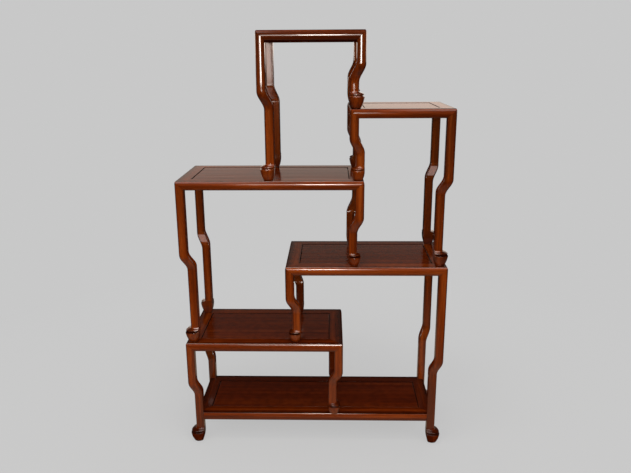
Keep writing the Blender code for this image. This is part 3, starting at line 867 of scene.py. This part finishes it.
# floor, backdrop and light
studio = {
    "pale": 0.578,          # grey of the backdrop
    "ambient": 0.52,        # soft light from all round
    "frontFill": 1.12,      # more of it from in front
    "overhead": -0.20,      # and less from straight above
    "overheadFrom": (0.2, 1.0),
    "dim": 0.006,           # the room in front, as polish mirrors it
    "wall": (1.96, 1.62, 1.38),     # the wall behind, as polish mirrors it
    "behind": (0.0, 0.4),   # directions in which the wall stands
    "horizon": (-0.02, 0.01),
    # how it fades upward: sine of the height, share left
    "wallFade": ((0.005, 0.62), (0.05, 0.98), (0.19, 0.27), (0.31, 0.12), (0.42, 0.07), (0.50, 0.0)),
    # windows in front, as polish mirrors them: how they fade upward and sideways
    "inFront": (-0.05, -0.15),
    "windows": {
        "high": {
            "light": (6.8, 5.8, 5.3),
            "upward": ((0.84, 0.0), (0.90, 1.0), (0.97, 1.0), (0.99, 0.0)),
            "sideways": ((0.26, 1.0), (0.36, 0.0)),
        },
        "sides": {
            "light": (2.2, 1.8, 1.65),
            "upward": ((0.46, 0.0), (0.52, 1.0), (0.80, 1.0), (0.84, 0.0)),
            "sideways": ((0.09, 0.0), (0.13, 1.0), (0.30, 1.0), (0.40, 0.0)),
        },
    },
    "floorSize": 60,
    "floorGrey": 0.6,
    "floorShade": 0.30,     # share of the floor that takes shadow
    "floorGlow": 0.645,
    "floorFade": (0.7, 1.9),        # metres from the shelf
    "bounce": 0.15,         # light that the floor throws back up
    "sheet": (0.24, 0.18, 0.13),    # the pale floor near the shelf, as polish mirrors it
    "sheetFade": (0.5, 1.4),
    "lamps": {
        "overhead soft box": {
            "at": (-0.15, -0.55, 3.2),
            "to": (0.0, -0.1, 0.7),
            "size": (0.60, 0.50),
            "watts": 10,
            "tint": (1.0, 0.95, 0.9),
        },
        "front soft box": {
            "at": (-0.10, -2.2, 1.31),
            "to": (0.0, 0.0, 1.0),
            "size": (0.88, 0.34),
            "watts": 5.4,
            "tint": (1.0, 0.87, 0.78),
        },
        "small lamp": {
            "at": (0.0, -2.2, 1.31),
            "to": (0.0, 0.0, 1.0),
            "size": (0.27, 0.30),
            "watts": 6.8,
            "tint": (1.0, 0.92, 0.86),
            "glintOnly": True,
        },
    },
}


def bySight(tree, seen, mirrored, lit):
    # what the camera sees, what polish mirrors, and what lights the shelf
    rays = addNode(tree, "ShaderNodeLightPath").outputs
    plain = addNode(tree, "ShaderNodeMixShader", None, in0=rays["Is Glossy Ray"], in1=lit, in2=mirrored)
    direct = worked(tree, "MAXIMUM", rays["Is Camera Ray"], rays["Is Transmission Ray"])
    return addNode(tree, "ShaderNodeMixShader", None, in0=direct, in1=plain.outputs[0], in2=seen).outputs[0]


world = bpy.data.worlds.new("studio")
world.use_nodes = True
bpy.context.scene.world = world
tree = world.node_tree
tree.nodes.clear()
facing = addNode(tree, "ShaderNodeTexCoord").outputs["Generated"]
way = addNode(tree, "ShaderNodeSeparateXYZ", None, in0=facing).outputs
sideways = worked(tree, "ABSOLUTE", way["X"])
behind = ranged(tree, way["Y"], *studio["behind"])
behind = worked(tree, "MULTIPLY", behind, ranged(tree, way["Z"], *studio["horizon"]))
behind = worked(tree, "MULTIPLY", behind, graded(tree, way["Z"], studio["wallFade"]))
room = blended(tree, behind, grey(studio["dim"]), studio["wall"] + (1,))
inFront = ranged(tree, way["Y"], *studio["inFront"])
for window in studio["windows"].values():
    opening = worked(tree, "MULTIPLY", inFront, graded(tree, way["Z"], window["upward"]))
    opening = worked(tree, "MULTIPLY", opening, graded(tree, sideways, window["sideways"]))
    red, green, blue = window["light"]
    glass = addNode(tree, "ShaderNodeCombineXYZ", None, in0=red, in1=green, in2=blue)
    room = blended(tree, opening, room, glass.outputs[0])
seen = addNode(tree, "ShaderNodeBackground", None, Color=grey(1), Strength=studio["pale"]).outputs[0]
mirrored = addNode(tree, "ShaderNodeBackground", None, Color=room, Strength=1.0).outputs[0]
fill = worked(tree, "MULTIPLY", ranged(tree, way["Y"], 0.0, -1.0), studio["frontFill"])
less = worked(tree, "MULTIPLY", ranged(tree, way["Z"], *studio["overheadFrom"]), studio["overhead"])
fill = worked(tree, "ADD", worked(tree, "ADD", fill, less), studio["ambient"])
lit = addNode(tree, "ShaderNodeBackground", None, Color=grey(1), Strength=fill).outputs[0]
addNode(tree, "ShaderNodeOutputWorld", None, Surface=bySight(tree, seen, mirrored, lit))

floorMesh = bpy.data.meshes.new("floor")
reach = studio["floorSize"] / 2
corners = [(-reach, -reach, 0), (reach, -reach, 0), (reach, reach, 0), (-reach, reach, 0)]
floorMesh.from_pydata(corners, [], [(0, 1, 2, 3)])
floor = bpy.data.objects.new("floor", floorMesh)
bpy.context.scene.collection.objects.link(floor)
floorMaterial = bpy.data.materials.new("pale floor")
floorMaterial.use_nodes = True
tree = floorMaterial.node_tree
tree.nodes.clear()
place = addNode(tree, "ShaderNodeTexCoord").outputs["Object"]
away = addNode(tree, "ShaderNodeVectorMath", {"operation": "LENGTH"}, in0=place).outputs["Value"]
near = ranged(tree, away, *studio["floorFade"], 1.0, 0.0)
lit = addNode(tree, "ShaderNodeBsdfDiffuse", None, Color=grey(studio["floorGrey"])).outputs[0]
level = ranged(tree, near, 0.0, 1.0, studio["pale"], studio["floorGlow"])
glow = addNode(tree, "ShaderNodeEmission", None, Color=grey(1), Strength=level).outputs[0]
shade = worked(tree, "MULTIPLY", near, studio["floorShade"])
seen = addNode(tree, "ShaderNodeMixShader", None, in0=shade, in1=glow, in2=lit).outputs[0]
far = ranged(tree, away, *studio["sheetFade"])
sheet = blended(tree, far, studio["sheet"] + (1,), grey(studio["dim"]))
mirrored = addNode(tree, "ShaderNodeEmission", None, Color=sheet, Strength=1.0).outputs[0]
dull = addNode(tree, "ShaderNodeBsdfDiffuse", None, Color=grey(studio["bounce"])).outputs[0]
addNode(tree, "ShaderNodeOutputMaterial", None, Surface=bySight(tree, seen, mirrored, dull))
floorMesh.materials.append(floorMaterial)

for name, look in studio["lamps"].items():
    lamp = bpy.data.lights.new(name, "AREA")
    lamp.shape = "RECTANGLE"
    lamp.size, lamp.size_y = look["size"]
    lamp.energy = look["watts"]
    lamp.color = look["tint"]
    stand = bpy.data.objects.new(name, lamp)
    stand.location = look["at"]
    aim = Vector(look["to"]) - Vector(look["at"])
    stand.rotation_euler = aim.to_track_quat("-Z", "Y").to_euler()
    stand.visible_camera = False
    stand.visible_diffuse = not look.get("glintOnly", False)    # shows in the polish, lights nothing
    bpy.context.scene.collection.objects.link(stand)
print("studio lit with", len(studio["lamps"]), "lamps")

# camera where the photograph was taken from
shot = {
    "at": (0.0550, -2.1228, 1.308),
    "pitch": 15.631,        # degrees below level
    "yaw": -1.41,
    "roll": -0.344,
    "lens": 36.30,
    "sensor": 36,
}
pitch, yaw, roll = (math.radians(shot[key]) for key in ("pitch", "yaw", "roll"))
ahead = math.cos(pitch)
forward = Vector((math.sin(yaw) * ahead, math.cos(yaw) * ahead, -math.sin(pitch)))
level = Vector((math.cos(yaw), -math.sin(yaw), 0))
upward = level.cross(forward)
right = math.cos(roll) * level + math.sin(roll) * upward
up = math.cos(roll) * upward - math.sin(roll) * level
camera = bpy.data.cameras.new("shot")
camera.sensor_width = shot["sensor"]
camera.lens = shot["lens"]
view = bpy.data.objects.new("shot", camera)
turned = Matrix((right, up, -forward)).transposed().to_4x4()
view.matrix_world = Matrix.Translation(shot["at"]) @ turned
bpy.context.scene.collection.objects.link(view)
bpy.context.scene.camera = view
bpy.context.scene.view_settings.view_transform = "Standard"
